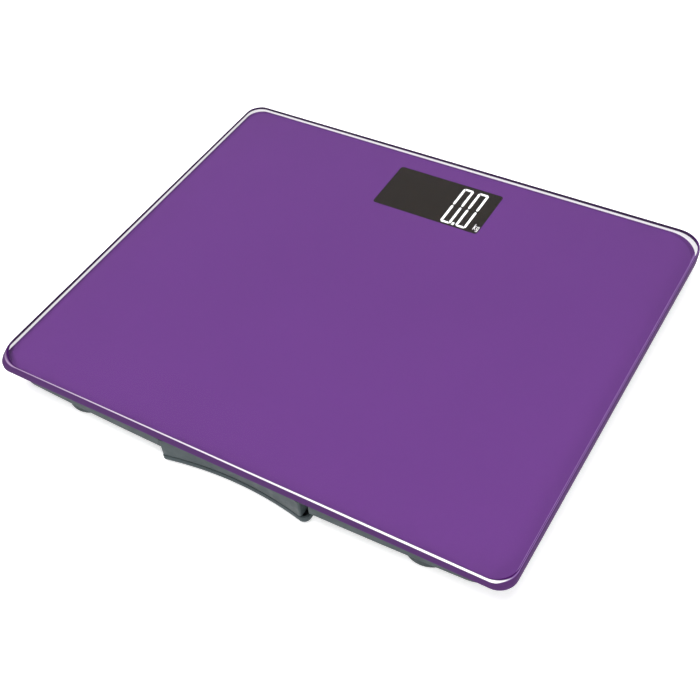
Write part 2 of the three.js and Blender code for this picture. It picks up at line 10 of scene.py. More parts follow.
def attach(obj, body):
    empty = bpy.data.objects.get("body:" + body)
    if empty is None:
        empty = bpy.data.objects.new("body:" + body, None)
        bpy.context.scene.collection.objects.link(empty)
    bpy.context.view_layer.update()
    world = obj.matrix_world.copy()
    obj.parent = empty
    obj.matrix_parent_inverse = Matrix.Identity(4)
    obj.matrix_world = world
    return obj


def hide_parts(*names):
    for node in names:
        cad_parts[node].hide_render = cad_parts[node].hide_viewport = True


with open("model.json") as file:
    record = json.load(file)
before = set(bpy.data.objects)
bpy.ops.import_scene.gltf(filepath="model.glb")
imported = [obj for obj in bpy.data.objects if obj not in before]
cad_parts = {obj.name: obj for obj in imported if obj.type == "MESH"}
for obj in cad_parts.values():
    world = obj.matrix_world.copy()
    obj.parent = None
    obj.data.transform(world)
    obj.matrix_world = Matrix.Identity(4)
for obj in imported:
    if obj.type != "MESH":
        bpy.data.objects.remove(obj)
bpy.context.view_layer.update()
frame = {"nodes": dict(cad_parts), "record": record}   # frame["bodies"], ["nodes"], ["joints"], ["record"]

# Lengths below are millimetres in the CAD frame, and MM turns them into metres.
MM = 0.001
QUARTER = math.pi / 2

GLASS = {"half_x": 179.75, "half_y": 150, "corner": 11, "back_right": 18, "bottom": 22, "top": 30}
# The glass's corners are always listed from the front right one on.
CORNER_RADII = tuple(GLASS[k] for k in ("corner", "back_right", "corner", "corner"))
LOW_EDGE = 0.95  # radius of the glass's lower edge
TOP_EDGE = 1.1  # radius of its upper edge
INWARD = 2  # how much rounder the glass's corners get for each millimetre inwards
# Extra radius of the corners: it grows along a curve from `start` up to the top, and from `end` down.
DUB = {"start": 25, "top": (2, 0, 0, 9), "curve": 1.5, "step": 0.6, "end": 27, "foot": (0, 4.5, 0, 0)}
BORDER = 2.7  # width of the strip along the glass's edge where the print carries painted shade, with a painted lilac reflection along the right side
PAINTED_GLOW_TOP = 24.2  # height up to which the side's inner face glows white, a painted glow standing for light let in through the glass's lower edge
WIDER = 0.8  # how far the print's own window reaches past the one in the paint above it
WINDOW = {"y": 112.6, "half_x": 40.6, "half_y": 21.55, "corner": 2.2}
BASE = {"half_x": 175.5, "half_y": 146, "bow": 3, "corner": 24, "bottom": 12.6, "rim": 20, "wall": 1.8}
BELLY = {"half_x": 84, "half_y": 118, "y": 16, "corner": 16, "bottom": 10, "slope": 6}
FOOT = {"x": 122.3, "y": 126.3, "radius": 17, "top": 11.3, "pad": 14, "bore": 16.3, "skirt": 18.6,
        "skirt_low": 11.9, "boss": 16.95}
POD = {"half_x": 50, "back": -117, "mid": -144.7, "hollow": 4.9, "corner": 1.5, "back_corner": 4}
HOLLOW_CHORD = 47.5  # half the width of the pod's hollow front
COVER = {"bottom": 1.2, "top": 6.9, "wall": 1.6, "edge": 3}
THUMB = {"extra": 3.6, "corner": 4.5}  # the longer, rounder right end of the cover
MOUTH = {"extra": 5, "corner": 3}  # room for it in the base, to the right of the housing
HINGE = {"y": -114.2, "z": 8.6, "pin": 1.3, "bore": 1.38, "eye": 2.4, "arm": (27, 30), "lug": (30.3, 34)}
BUTTON = {"x": 0, "y": 77, "radius": 3.6, "stem": 12.55, "flange": 0.4}
CORNERS = {"fl": (-1, -1), "fr": (1, -1), "bl": (-1, 1), "br": (1, 1)}
GAP = 0.3
SCREW_HOLE = 1.5  # radius
BRACKET_EAR = {"x": 20.5, "y": 8}  # a bracket's screws, to both sides of its foot and inwards
HOUSING_EAR = {"x": 8.5, "y": 10}  # the housing's screws, outwards and forwards from its back corners
PEG = {"x": 55, "y": 100.2, "reach": 26, "radius": 2.6, "top": 14.1}  # pegs that carry the main board
RIB = {"half": 0.6, "belly_x": (-40, 40), "belly_y": (-70, -20, 30), "side_x": (-100, 100)}  # stiffening ribs
LABEL = {"half_x": 34, "half_y": 17, "corner": 3, "y": 10, "depth": 0.35}  # a blank field underneath
FLUTE = {"count": 6, "first": 48, "pitch": 5, "half": 0.7, "depth": 0.4}  # grooves to both sides of it
FLOOR_TOP = BASE["bottom"] + BASE["wall"]
CEILING = GLASS["bottom"] - 0.9


# ---------------------------------------------------------------- outlines, counter-clockwise
def arc(cx, cy, radius, start, end, steps):
    angles = [start + (end - start) * i / steps for i in range(steps + 1)]
    return [(cx + radius * math.cos(a), cy + radius * math.sin(a)) for a in angles]


def rectangle(half_x, half_y, radius, inset=0.0, steps=24, y=0.0):
    """The radius is one number, or one for each corner from the front right on."""
    radii = radius if isinstance(radius, tuple) else (radius,) * 4
    points = []
    for k, (sx, sy) in enumerate(((1, -1), (1, 1), (-1, 1), (-1, -1))):
        r = max(radii[k] - inset, 0.2)
        cx, cy = half_x - inset - r, half_y - inset - r
        points += arc(sx * cx, sy * cy + y, r, (k - 1) * QUARTER, k * QUARTER, steps)
    return points


def glass_outline(inset):
    return rectangle(GLASS["half_x"], GLASS["half_y"], CORNER_RADII, inset, 32)


def rim_outline(inset, z):
    """The glass's outline at one height. Its corners get rounder inwards, and where they are dubbed."""
    above = max(0, (z - DUB["start"]) / (GLASS["top"] - DUB["start"])) ** DUB["curve"]
    below = max(0, (DUB["end"] - z) / (DUB["end"] - GLASS["bottom"]))
    radii = tuple(corner + INWARD * inset + above * head + below * foot
                  for corner, head, foot in zip(CORNER_RADII, DUB["top"], DUB["foot"]))
    return rectangle(GLASS["half_x"], GLASS["half_y"], radii, inset, 32)


def base_outline(inset):
    """The base's outline, whose front and back bow outwards."""
    corners = rectangle(BASE["half_x"], BASE["half_y"], BASE["corner"], inset, 24)
    reach = BASE["half_x"] - BASE["corner"]
    steps = 48

    def side(sign):
        points = []
        for i in range(1, steps):
            x = sign * reach * (2 * i / steps - 1)
            out = BASE["bow"] * (1 - (x / reach) ** 2)
            points.append((x, -sign * (BASE["half_y"] - inset + out)))
        return points

    half = len(corners) // 2
    return side(1) + corners[:half] + side(-1) + corners[half:]


def belly_outline(inset):
    """The shallow step in the middle of the base's underside."""
    b = BELLY
    return rectangle(b["half_x"], b["half_y"], b["corner"], inset, 16, b["y"])


def pod_outline(inset, right_end=None, steps=64, turns=12):
    """The battery pod's outline with a hollow front arc, and its right end moved out and rounded."""
    end = right_end or {"extra": 0, "corner": POD["corner"]}
    radius = (HOLLOW_CHORD ** 2 + POD["hollow"] ** 2) / (2 * POD["hollow"])
    centre = POD["mid"] - radius
    back = max(POD["back_corner"] - inset, 0.3)
    by = POD["back"] - inset - back

    def corner(half_x, rounding):
        r = max(rounding - inset, 0.3)
        cx = half_x - inset - r
        reach = radius + inset + r
        return r, cx, centre + math.sqrt(reach ** 2 - cx ** 2), math.asin(cx / reach), half_x - inset - back

    l_r, lx, ly, l_lean, l_back = corner(POD["half_x"], POD["corner"])
    r_r, rx, ry, r_lean, r_back = corner(POD["half_x"] + end["extra"], end["corner"])
    return (arc(0, centre, radius + inset, QUARTER + l_lean, QUARTER - r_lean, steps)[1:-1]
            + arc(rx, ry, r_r, -QUARTER - r_lean, 0, turns)
            + arc(r_back, by, back, 0, QUARTER, turns)
            + arc(-l_back, by, back, QUARTER, 2 * QUARTER, turns)
            + arc(-lx, ly, l_r, 2 * QUARTER, 3 * QUARTER + l_lean, turns))


def cover_outline(inset):
    return pod_outline(inset, THUMB)


def mouth_outline(inset):
    return pod_outline(inset, MOUTH)


# ---------------------------------------------------------------- closed meshes
def rounded_foot(radius, z, steps):
    angles = [QUARTER * i / steps for i in range(steps + 1)]
    return [(radius * (1 - math.sin(a)), z + radius * (1 - math.cos(a))) for a in angles]


def rounded_head(radius, z, steps):
    return [(inset, z - up) for inset, up in rounded_foot(radius, 0, steps)][::-1]


def stack(outline, levels):
    """A closed mesh through outlines given as (inset, z) from the bottom up."""
    bm = bmesh.new()
    rings = [[bm.verts.new((x, y, z)) for x, y in outline(inset)] for inset, z in levels]
    n = len(rings[0])
    for k, (low, high) in enumerate(zip(rings, rings[1:])):
        for i in range(n):
            face = bm.faces.new((low[i], low[(i + 1) % n], high[(i + 1) % n], high[i]))
            face.material_index = k
    caps = [bm.faces.new(rings[0][::-1]), bm.faces.new(rings[-1])]
    bm.normal_update()
    bmesh.ops.triangulate(bm, faces=caps, ngon_method="EAR_CLIP")
    return bm


def turned(profile, x=0.0, y=0.0, sides=72):
    """A closed piece turned about Z from (radius, z) pairs that start and end on the axis, bottom first."""
    bm = bmesh.new()
    rings = []
    for radius, z in profile:
        if radius == 0:
            rings.append([bm.verts.new((x, y, z))])
        else:
            circle = arc(x, y, radius, 0, 2 * math.pi, sides)[:-1]
            rings.append([bm.verts.new((px, py, z)) for px, py in circle])
    for low, high in zip(rings, rings[1:]):
        for i in range(sides):
            j = (i + 1) % sides
            if len(low) == 1:
                bm.faces.new((low[0], high[j], high[i]))
            elif len(high) == 1:
                bm.faces.new((low[i], low[j], high[0]))
            else:
                bm.faces.new((low[i], low[j], high[j], high[i]))
    return bm


def block(x0, y0, z0, x1, y1, z1):
    bm = bmesh.new()
    size = Matrix.Diagonal((abs(x1 - x0), abs(y1 - y0), abs(z1 - z0), 1))
    move = Matrix.Translation(((x0 + x1) / 2, (y0 + y1) / 2, (z0 + z1) / 2))
    bmesh.ops.create_cube(bm, size=1, matrix=move @ size)
    return bm


def post(radius, z0, z1, x=0.0, y=0.0, sides=48):
    return turned([(0, z0), (radius, z0), (radius, z1), (0, z1)], x, y, sides)


def rod(radius, x0, x1, y, z, sides=36):
    bm = post(radius, min(x0, x1), max(x0, x1), 0, 0, sides)
    lie = Matrix.Rotation(QUARTER, 4, "Y")
    bmesh.ops.transform(bm, matrix=Matrix.Translation((0, y, z)) @ lie, verts=bm.verts)
    return bm


def to_mesh(bm, name):
    bmesh.ops.recalc_face_normals(bm, faces=bm.faces)
    bmesh.ops.scale(bm, vec=(MM, MM, MM), verts=bm.verts)
    mesh = bpy.data.meshes.new(name)
    bm.to_mesh(mesh)
    bm.free()
    return mesh


def reopened(mesh):
    """A carved mesh as a bmesh in millimetres again."""
    bm = bmesh.new()
    bm.from_mesh(mesh)
    bmesh.ops.scale(bm, vec=(1 / MM,) * 3, verts=bm.verts)
    return bm


def new_object(name, mesh):
    obj = bpy.data.objects.new(name, mesh)
    bpy.context.scene.collection.objects.link(obj)
    return obj


def carve(name, kept, removed=()):
    """The first list's solids joined, less the second list's, as one mesh."""
    base = new_object(name, to_mesh(kept[0], name))
    tools = []
    for operation, solids in (("UNION", kept[1:]), ("DIFFERENCE", removed)):
        for bm in solids:
            tool = new_object("tool", to_mesh(bm, "tool"))
            cut = base.modifiers.new("cut", "BOOLEAN")
            cut.operation, cut.object, cut.solver = operation, tool, "MANIFOLD"
            tools.append(tool)
    bpy.context.view_layer.update()
    graph = bpy.context.evaluated_depsgraph_get()
    made = bpy.data.meshes.new_from_object(base.evaluated_get(graph))
    for obj in (base, *tools):
        bpy.data.objects.remove(obj)
    return made


def crease_flats(mesh):
    """Marks the edge between a level face and a sloping one sharp, so that the level face shades flat."""
    level = [abs(p.normal.z) > 0.99999 for p in mesh.polygons]
    sides = {}
    for polygon, flat in zip(mesh.polygons, level):
        for key in polygon.edge_keys:
            sides.setdefault(key, []).append(flat)
    sharp = mesh.attributes.get("sharp_edge") or mesh.attributes.new("sharp_edge", "BOOLEAN", "EDGE")
    for edge in mesh.edges:
        if len(set(sides.get(edge.key, ()))) == 2:
            sharp.data[edge.index].value = True


def piece(name, mesh, body, materials, stands_for=(), sharp=32):
    obj = new_object(name, mesh)
    zones = [min(p.material_index, len(materials) - 1) for p in mesh.polygons]
    mesh.materials.clear()
    for material in materials:
        mesh.materials.append(material)
    mesh.polygons.foreach_set("material_index", zones)
    mesh.shade_smooth()
    mesh.set_sharp_from_angle(angle=math.radians(sharp))
    crease_flats(mesh)
    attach(obj, body)
    if stands_for:
        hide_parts(*stands_for)
    return obj


# ---------------------------------------------------------------- materials
class Paint:
    """Builds one node material around a Principled shader."""

    def __init__(self, name, **uniform):
        self.material = bpy.data.materials.new(name)
        self.material.use_nodes = True
        self.nodes = self.material.node_tree.nodes
        self.links = self.material.node_tree.links
        self.shader = self.nodes["Principled BSDF"]
        for socket, value in uniform.items():
            self.shader.inputs[socket.replace("_", " ")].default_value = value

    def add(self, kind, **values):
        node = self.nodes.new(kind)
        for key, value in values.items():
            if key in node.inputs:
                node.inputs[key].default_value = value
            elif key.replace("_", " ") in node.inputs:
                node.inputs[key.replace("_", " ")].default_value = value
            else:
                setattr(node, key, value)
        return node

    def link(self, out, into):
        self.links.new(out, into)
        return self

    def place(self, stretch=(1, 1, 1)):
        """The piece's own coordinates in metres, stretched along its axes."""
        coords = self.add("ShaderNodeTexCoord")
        scale = self.add("ShaderNodeMapping")
        scale.inputs["Scale"].default_value = stretch
        self.link(coords.outputs["Object"], scale.inputs["Vector"])
        return scale.outputs["Vector"]

    def noise(self, scale, detail=3.0, stretch=(1, 1, 1)):
        node = self.add("ShaderNodeTexNoise", Scale=scale, Detail=detail)
        self.link(self.place(stretch), node.inputs["Vector"])
        return node.outputs["Fac"]

    def ramp(self, factor, *stops):
        node = self.add("ShaderNodeValToRGB")
        elements = node.color_ramp.elements
        while len(elements) < len(stops):
            elements.new(0.5)
        for element, (position, color) in zip(elements, stops):
            element.position = position
            element.color = (*color, 1) if len(color) == 3 else (color[0],) * 3 + (1,)
        self.link(factor, node.inputs["Fac"])
        return node.outputs["Color"]

    def between(self, factor, low, high, start=0.35, end=0.65):
        node = self.add("ShaderNodeMapRange")
        for socket, value in (("From Min", start), ("From Max", end), ("To Min", low), ("To Max", high)):
            node.inputs[socket].default_value = value
        self.link(factor, node.inputs["Value"])
        return node.outputs["Result"]

    def bump(self, height, distance, strength=1.0):
        node = self.add("ShaderNodeBump", Strength=strength, Distance=distance)
        self.link(height, node.inputs["Height"])
        self.link(node.outputs["Normal"], self.shader.inputs["Normal"])
        return node

    def colour(self, out):
        return self.link(out, self.shader.inputs["Base Color"])

    def rough(self, out):
        return self.link(out, self.shader.inputs["Roughness"])


def shade(color, factor):
    return tuple(c * factor for c in color)


def moulded(name, color, rough, grain=2600, depth=0.000035, mottle=0.10):
    """Spark-textured moulded plastic: fine grain and a faint mottle."""
    p = Paint(name, IOR=1.48, Specular_IOR_Level=0.1)
    tint = p.noise(45, 4)
    p.colour(p.ramp(tint, (0.3, shade(color, 1 - mottle)), (0.7, shade(color, 1 + mottle))))
    p.rough(p.between(p.noise(160, 3), rough - 0.06, rough + 0.07))
    p.bump(p.noise(grain, 2), depth, 0.8)
    return p.material


def metal(name, color, rough, stretch=(1, 30, 1), scale=300):
    """Bare metal with fine drawn lines."""
    p = Paint(name, Metallic=1.0)
    lines = p.noise(scale, 4, stretch)
    p.colour(p.ramp(lines, (0.3, shade(color, 0.86)), (0.7, color)))
    p.rough(p.between(lines, rough - 0.05, rough + 0.09))
    p.bump(lines, 0.000012, 0.6)
    return p.material


PURPLE = (0.1114, 0.0333, 0.1822)
# Painted light for the glass's edges: painted shade (dark), a painted lilac reflection, and a painted
# highlight that brightens from left through middle to right along the front.
ARRIS_PAINTED_LIGHT = {"dark": (0.045, 0.008, 0.08), "lilac": (0.23, 0.125, 0.33), "left": (0.35, 0.24, 0.4),
         "middle": (0.7, 0.64, 0.72), "right": (0.95, 0.95, 0.95)}
SIDE = (0.077, 0.029, 0.117)


def painted(name, color, rough=0.42):
    """Colour fired onto the glass: even, with a very slight cloudiness."""
    p = Paint(name, IOR=1.45, Specular_IOR_Level=0.0)
    cloud = p.noise(9, 3)
    p.colour(p.ramp(cloud, (0.3, shade(color, 0.985)), (0.7, shade(color, 1.015))))
    p.rough(p.between(p.noise(800, 2), rough - 0.03, rough + 0.03))
    return p.material


def border_painted_shade_and_reflection():
    """The print's outermost strip, coloured with painted light: painted shade, but a painted lilac reflection
    along the right side.
    """
    p = Paint("border_painted_shade_and_reflection", IOR=1.45, Specular_IOR_Level=0.0)
    coords = p.add("ShaderNodeTexCoord")
    spot = p.add("ShaderNodeSeparateXYZ")
    p.link(coords.outputs["Object"], spot.inputs[0])
    edge = (GLASS["half_x"] - BORDER - 1) * MM
    # Painted shade, turning into the painted lilac reflection at the right edge.
    p.colour(p.ramp(p.between(spot.outputs["X"], 0.0, 1.0, edge, edge + MM),
                    (0, shade(PURPLE, 0.76)), (1, ARRIS_PAINTED_LIGHT["lilac"])))
    p.rough(p.between(p.noise(800, 2), 0.4, 0.5))
    return p.material


def clear_glass():
    """Clear glass that lets the light through to what lies behind it."""
    p = Paint("clear_glass", IOR=1.5, Transmission_Weight=1.0, Roughness=0.0)
    p.rough(p.between(p.noise(14, 4), 0.0, 0.015, 0.45, 0.75))
    lamp = p.add("ShaderNodeLightPath")
    through = p.add("ShaderNodeBsdfTransparent")
    mix = p.add("ShaderNodeMixShader")
    p.link(lamp.outputs["Is Shadow Ray"], mix.inputs[0])
    p.link(p.shader.outputs[0], mix.inputs[1])
    p.link(through.outputs[0], mix.inputs[2])
    p.link(mix.outputs[0], p.nodes["Material Output"].inputs["Surface"])
    return p.material


def lit_segment():
    p = Paint("lit_segment", Roughness=0.4, Emission_Strength=0.5, Emission_Color=(1, 1, 1, 1))
    p.colour(p.ramp(p.noise(300, 2), (0.3, (0.88,)), (0.7, (0.94,))))
    return p.material


def glass_side(name, outside, inside, glow):
    """The side of the glass: the print's colour from outside, and painted light on its face within the glass,
    which `glow` makes glow.
    """
    p = Paint(name, Roughness=0.4, Specular_IOR_Level=0.005)
    p.colour(p.ramp(p.noise(30, 3), (0.3, shade(outside, 0.96)), (0.7, shade(outside, 1.04))))
    inner = p.add("ShaderNodeBsdfPrincipled", Roughness=0.7, Specular_IOR_Level=0.0,
                  Emission_Color=(*inside, 1), Emission_Strength=glow)
    own = shade(inside, 1 - glow)
    p.link(p.ramp(p.noise(40, 3), (0.3, shade(own, 0.9)), (0.7, own)), inner.inputs["Base Color"])
    facing = p.add("ShaderNodeNewGeometry")
    mix = p.add("ShaderNodeMixShader")
    p.link(facing.outputs["Backfacing"], mix.inputs[0])
    p.link(p.shader.outputs[0], mix.inputs[1])
    p.link(inner.outputs[0], mix.inputs[2])
    p.link(mix.outputs[0], p.nodes["Material Output"].inputs["Surface"])
    return p.material


def arris_painted_light():
    """The polished upper edge, coloured with painted light: a painted highlight in front, brightest at its
    right, a painted lilac reflection on the right side, and painted shade elsewhere.
    """
    p = Paint("edge_painted_highlight", Roughness=0.5, Specular_IOR_Level=0.005)
    coords = p.add("ShaderNodeTexCoord")
    axes = p.add("ShaderNodeSeparateXYZ")
    spot = p.add("ShaderNodeSeparateXYZ")
    p.link(coords.outputs["Normal"], axes.inputs[0])
    p.link(coords.outputs["Object"], spot.inputs[0])
    reach = GLASS["half_x"] * MM

    def layered(below, above, factor):
        mix = p.add("ShaderNodeMix", data_type="RGBA")
        for value, socket in ((factor, mix.inputs[0]), (below, mix.inputs[6]), (above, mix.inputs[7])):
            if isinstance(value, tuple):
                socket.default_value = (*value, 1)
            else:
                p.link(value, socket)
        return mix.outputs[2]

    def upper_part(lowest):
        """1 where the rounding faces further up than `lowest`, 0 below."""
        rise = p.add("ShaderNodeMath", operation="SUBTRACT")
        p.link(axes.outputs["Z"], rise.inputs[0])
        p.link(lowest, rise.inputs[1])
        return p.between(rise.outputs[0], 0.0, 1.0, -0.08, 0.08)

    across = p.between(spot.outputs["X"], 0.0, 1.0, -reach, reach)
    # The painted highlight along the front edge, and how far down the rounding it reaches.
    shine = p.ramp(across, (0.05, ARRIS_PAINTED_LIGHT["left"]), (0.5, ARRIS_PAINTED_LIGHT["middle"]), (0.85, ARRIS_PAINTED_LIGHT["right"]))
    lowest = p.ramp(across, (0.02, (0.86,)), (0.07, (0.74,)), (0.5, (0.45,)), (0.9, (0.02,)))
    upward = p.between(axes.outputs["Z"], 0.0, 1.0, 0.7, 0.92)
    to_right = p.between(axes.outputs["X"], 0.0, 1.0, 0.2, 0.42)
    past_tip = p.between(axes.outputs["X"], 0.0, 1.0, 0.3, 0.44)
    to_front = p.between(axes.outputs["Y"], 1.0, 0.0, -0.36, -0.16)
    lilac = layered(SIDE, ARRIS_PAINTED_LIGHT["lilac"], upward)
    front = layered(layered(SIDE, shine, upper_part(lowest)), lilac, past_tip)
    sides = layered(ARRIS_PAINTED_LIGHT["dark"], lilac, to_right)
    p.colour(layered(sides, front, to_front))
    return p.material


MATERIAL = {
    "clear": clear_glass(),
    "paint": painted("back_paint", PURPLE),
    "ring": border_painted_shade_and_reflection(),
    # The wall's inner face: a painted reflection of the print, in dark purple.
    "wall": glass_side("side_colour_and_painted_reflection", SIDE, (0.05, 0.01, 0.08), 0.0),
    # The rim's inner face: a painted white glow.
    "rim": glass_side("rim_painted_glow", SIDE, (0.97, 0.94, 0.99), 0.84),
    "arris": arris_painted_light(),
    "lit": lit_segment(),
    "body": moulded("grey_plastic", (0.048, 0.063, 0.067), 0.46),
    "foot": moulded("foot_plastic", (0.042, 0.055, 0.058), 0.5, 1800),
    "rubber": moulded("rubber", (0.022, 0.025, 0.025), 0.8, 1200, 0.00006),
    "frame": moulded("black_plastic", (0.02, 0.021, 0.022), 0.55),
    "tape": moulded("foam", (0.62, 0.62, 0.6), 0.9, 900, 0.00012),
    "steel": metal("plated_steel", (0.6, 0.61, 0.62), 0.32),
    "contact": metal("spring_steel", (0.66, 0.63, 0.55), 0.28, (1, 1, 1)),
    "screw": metal("zinc_screw", (0.5, 0.51, 0.52), 0.34, (1, 1, 1), 900),
    "gauge": moulded("gauge_film", (0.58, 0.2, 0.04), 0.4, 600, 0.00002),
    "display": painted("display_film", (0.0065, 0.0035, 0.0015), 0.3),
    "backlight": moulded("milky_plastic", (0.8, 0.83, 0.85), 0.35, 900, 0.00001, 0.02),
    "board": moulded("solder_mask", (0.012, 0.1, 0.04), 0.35, 500, 0.00002, 0.2),
    "chip": moulded("black_resin", (0.012, 0.012, 0.013), 0.3, 700, 0.00002),
    "wire": moulded("white_sleeve", (0.7, 0.7, 0.68), 0.45, 900, 0.00001, 0.03),
    "red_wire": moulded("red_sleeve", (0.45, 0.02, 0.02), 0.45, 900, 0.00001, 0.05),
    "black_wire": moulded("black_sleeve", (0.015, 0.015, 0.016), 0.45, 900, 0.00001, 0.05),
    "battery": metal("cell_sleeve", (0.06, 0.22, 0.1), 0.25, (8, 1, 1)),
}
MATERIAL["glass"], MATERIAL["print"] = MATERIAL["clear"], MATERIAL["paint"]

for row in frame["record"]["subparts"]:
    node = frame["nodes"][row["node"]]
    node.data.materials.clear()
    node.data.materials.append(MATERIAL[row["material_slot"]])


# ---------------------------------------------------------------- glass platform
def platform():
    """Clear above, painted behind and on the side, with the paint left open over the display."""
    bottom, top = GLASS["bottom"], GLASS["top"]
    low_steps, wall_steps, high_steps = 4, 6, 8
    levels = [(BORDER, bottom)] + rounded_foot(LOW_EDGE, bottom, low_steps) + [(0, PAINTED_GLOW_TOP)]
    levels += [(0, DUB["start"] + DUB["step"] * k) for k in range(wall_steps)]
    levels += rounded_head(TOP_EDGE, top, high_steps)
    clear, paint, ring, rim, wall, arris = range(6)
    zones = [ring] + [rim] * (low_steps + 1) + [wall] * (wall_steps + 1) + [arris] * high_steps
    bm = bmesh.new()
    rings = [[bm.verts.new((x, y, z)) for x, y in rim_outline(inset, z)] for inset, z in levels]
    count = len(rings[0])
    for low, high, zone in zip(rings, rings[1:], zones):
        for i in range(count):
            j = (i + 1) % count
            bm.faces.new((low[i], low[j], high[j], high[i])).material_index = zone
    w = WINDOW
    hole = [bm.verts.new((x, y, bottom))
            for x, y in rectangle(w["half_x"], w["half_y"], w["corner"], 0, 8, w["y"])]
    for loops, zone in (([rings[0], hole], paint), ([hole], clear), ([rings[-1]], clear)):
        corners = [v for loop in loops for v in loop]
        for triangle in tessellate_polygon([[v.co for v in loop] for loop in loops]):
            bm.faces.new([corners[k] for k in triangle]).material_index = zone
    slots = [MATERIAL[k] for k in ("clear", "paint", "ring", "rim", "wall", "arris")]
    piece("glass", to_mesh(bm, "glass"), "platform", slots, ["glass_platform"])


def colour_print():
    """The colour layer under the glass, open over the display."""
    top = GLASS["bottom"] - GAP
    w = WINDOW
    half_x, half_y = w["half_x"] + WIDER, w["half_y"] + WIDER
    window = stack(lambda inset: rectangle(half_x, half_y, w["corner"], inset, 8, w["y"]),
                   [(0, top - 2), (0, top + 1)])
    sheet = carve("print", [stack(glass_outline, [(1, top - GAP), (1, top)])], [window])
    piece("print", sheet, "platform", [MATERIAL["print"]], ["colour_print"])


# ---------------------------------------------------------------- base shell
def bracket_screws(sx, sy):
    x, y = sx * FOOT["x"], sy * (FOOT["y"] - BRACKET_EAR["y"])
    return [(x + side * BRACKET_EAR["x"], y) for side in (-1, 1)]


def board_pegs():
    return [(sx * PEG["x"], PEG["y"] + sy * PEG["reach"]) for sx in (-1, 1) for sy in (-1, 1)]


def housing_screws():
    return [(side * (POD["half_x"] + HOUSING_EAR["x"]), POD["back"] - HOUSING_EAR["y"]) for side in (-1, 1)]


def pod_mouth(margin, bottom):
    """The opening in the base's front edge around the pod."""
    left, right = -POD["half_x"] - margin, POD["half_x"] + MOUTH["extra"] + margin
    return block(left, -GLASS["half_y"] - 5, bottom, right, POD["mid"] + 3, GLASS["top"])


def base_shell():
    """A bowed tray with a shallow belly, openings for the feet and the pod, and ribs inside."""
    b, bottom, slope = BASE, BELLY["bottom"], BELLY["slope"]
    outside = [
        stack(base_outline, rounded_foot(1.2, b["bottom"], 6) + [(0, b["rim"])]),
        stack(belly_outline, [(slope, bottom), (slope - 0.6, bottom + 0.1), (slope - 1.4, bottom + 0.45),
                              (0, b["bottom"] + 0.2)]),
    ]
    holes = [
        stack(mouth_outline, [(-GAP, 0), (-GAP, GLASS["top"])]),
        pod_mouth(GAP, 0),
        post(BUTTON["radius"] + 0.35, 0, GLASS["top"], BUTTON["x"], BUTTON["y"], 64),
        turned([(0, 0), (BUTTON["radius"] + 1.4, 0), (BUTTON["radius"] + 1.4, bottom + 0.1),
                (BUTTON["radius"] + 0.6, bottom + 0.6), (0, bottom + 0.6)], BUTTON["x"], BUTTON["y"], 64),
    ]
    for sx, sy in CORNERS.values():
        x, y = sx * FOOT["x"], sy * FOOT["y"]
        skirt, low, high = FOOT["skirt"], FOOT["skirt_low"], FLOOR_TOP - 0.5
        outside.append(turned([(0, low), (skirt - 0.5, low), (skirt, low + 0.4), (skirt, high), (0, high)],
                              x, y, 96))
        holes.append(post(FOOT["bore"], 0, GLASS["top"], x, y, 96))
        for hx, hy in bracket_screws(sx, sy):
            holes.append(post(SCREW_HOLE, 0, GLASS["top"], hx, hy, 24))
            holes.append(post(2.9, 0, b["bottom"] + 0.9, hx, hy, 40))
    holes += [post(SCREW_HOLE, b["bottom"] + 0.6, b["rim"], x, y, 24) for x, y in housing_screws()]
    room = [
        stack(base_outline, [(b["wall"], FLOOR_TOP), (b["wall"], GLASS["top"])]),
        stack(belly_outline, [(slope + 1, bottom + b["wall"]), (1.4, FLOOR_TOP + 0.1), (1.4, FLOOR_TOP + 1)]),
    ]
    rib_top = FLOOR_TOP + 0.5
    thin = RIB["half"]
    ribs = [block(x - thin, -90, bottom + 1, x + thin, 62, rib_top) for x in RIB["belly_x"]]
    ribs += [block(-80, y - thin, bottom + 1, 80, y + thin, rib_top) for y in RIB["belly_y"]]
    ribs += [block(x - thin, -90, FLOOR_TOP - 0.5, x + thin, 90, rib_top) for x in RIB["side_x"]]
    ribs += [post(PEG["radius"], bottom + 1, PEG["top"], x, y, 32) for x, y in board_pegs()]
    holes += [post(SCREW_HOLE, bottom + b["wall"], b["rim"], x, y, 24) for x, y in board_pegs()]
    field = LABEL

    def field_outline(inset):
        return rectangle(field["half_x"], field["half_y"], field["corner"], inset, 8, field["y"])

    holes.append(stack(field_outline, [(0, 0), (0, bottom + field["depth"])]))
    wide = FLUTE["half"]
    for k in range(FLUTE["count"]):
        for side in (-1, 1):
            x = side * (FLUTE["first"] + FLUTE["pitch"] * k)
            holes.append(block(x - wide, -70 + 4 * k, 0, x + wide, 60 - 4 * k, bottom + FLUTE["depth"]))
    shell = carve_more(outside, room, ribs, holes)
    piece("base", shell, "platform", [MATERIAL["body"]], ["base_shell"])


def carve_more(outside, room, ribs, holes):
    """The outside less the room, with the ribs added and then the holes made."""
    return carve("base", [reopened(carve("base", outside, room)), *ribs], holes)


